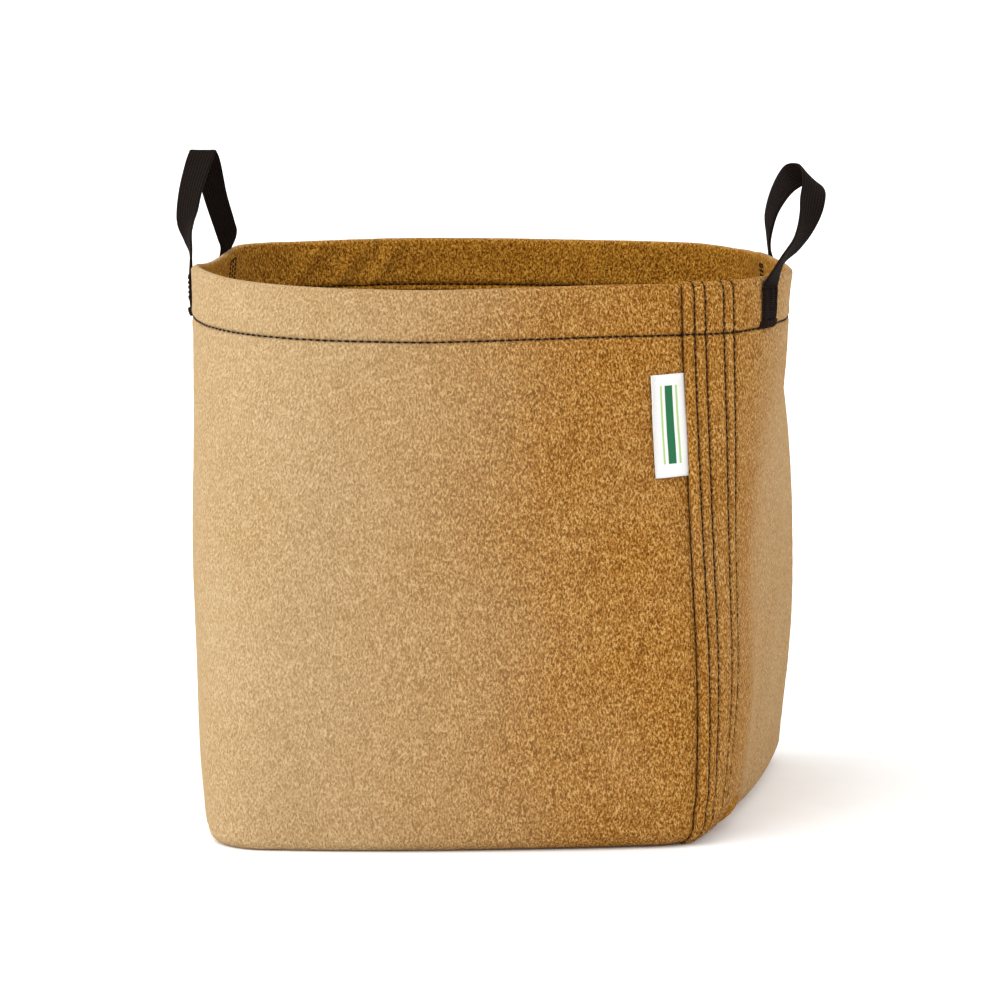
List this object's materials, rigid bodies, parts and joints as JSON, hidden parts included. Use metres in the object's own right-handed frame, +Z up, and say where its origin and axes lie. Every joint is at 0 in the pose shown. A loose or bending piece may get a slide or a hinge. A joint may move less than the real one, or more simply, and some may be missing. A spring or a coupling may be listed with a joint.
{
  "type": "fabric grow bag",
  "caption": "Soft-sided felt plant pot with a turned-in rim, a lapped side seam, a sewn base, a woven label and two webbing loop handles.",
  "frame": {"origin": "on the ground under the middle of the base", "axes": "+Z up, +X to the bag's right, +Y to its back"},
  "size_m": [0.3144, 0.2854, 0.3085],
  "materials": {
    "felt": "needle-punched tan felt",
    "thread": "dark brown sewing thread",
    "webbing": "black narrow woven webbing",
    "label": "pale woven label"
  },
  "bodies": {
    "bag": {"wall_panel": "felt", "base_panel": "felt", "rim_hem": "felt", "hem_stitch_outside": "thread", "hem_stitch_inside": "thread", "side_seam_lap": "felt", "side_seam_stitch_1": "thread", "side_seam_stitch_2": "thread", "side_seam_stitch_3": "thread", "side_seam_stitch_4": "thread", "base_seam_allowance": "felt", "base_seam_stitch": "thread", "left_front_strap_end": "webbing", "left_front_bartack": "thread", "left_front_box_stitch": "thread", "left_back_strap_end": "webbing", "left_back_bartack": "thread", "left_back_box_stitch": "thread", "right_front_strap_end": "webbing", "right_front_bartack": "thread", "right_front_box_stitch": "thread", "right_back_strap_end": "webbing", "right_back_bartack": "thread", "right_back_box_stitch": "thread"},
    "left_handle": {"left_handle_loop": "webbing"},
    "right_handle": {"right_handle_loop": "webbing"},
    "label": {"label_flap": "label"}
  },
  "joints": [
    {"name": "left_handle_hinge", "type": "hinge", "parent": "bag", "child": "left_handle", "pos_m": [-0.14344, 0.04028, 0.2574], "axis": [-0.1177, -0.993, 0], "range_deg": [-94, 136], "stiffness_Nm_per_rad": 0.02},
    {"name": "right_handle_hinge", "type": "hinge", "parent": "bag", "child": "right_handle", "pos_m": [0.12979, 0.00047, 0.2574], "axis": [0.0592, 0.9982, 0], "range_deg": [-112, 92], "stiffness_Nm_per_rad": 0.02},
    {"name": "label_hinge", "type": "hinge", "parent": "bag", "child": "label", "pos_m": [0.08881, -0.09923, 0.1925], "axis": [-0.0277, 0.1345, 0.9905], "range_deg": [0, 90], "stiffness_Nm_per_rad": 0.0005}
  ]
}
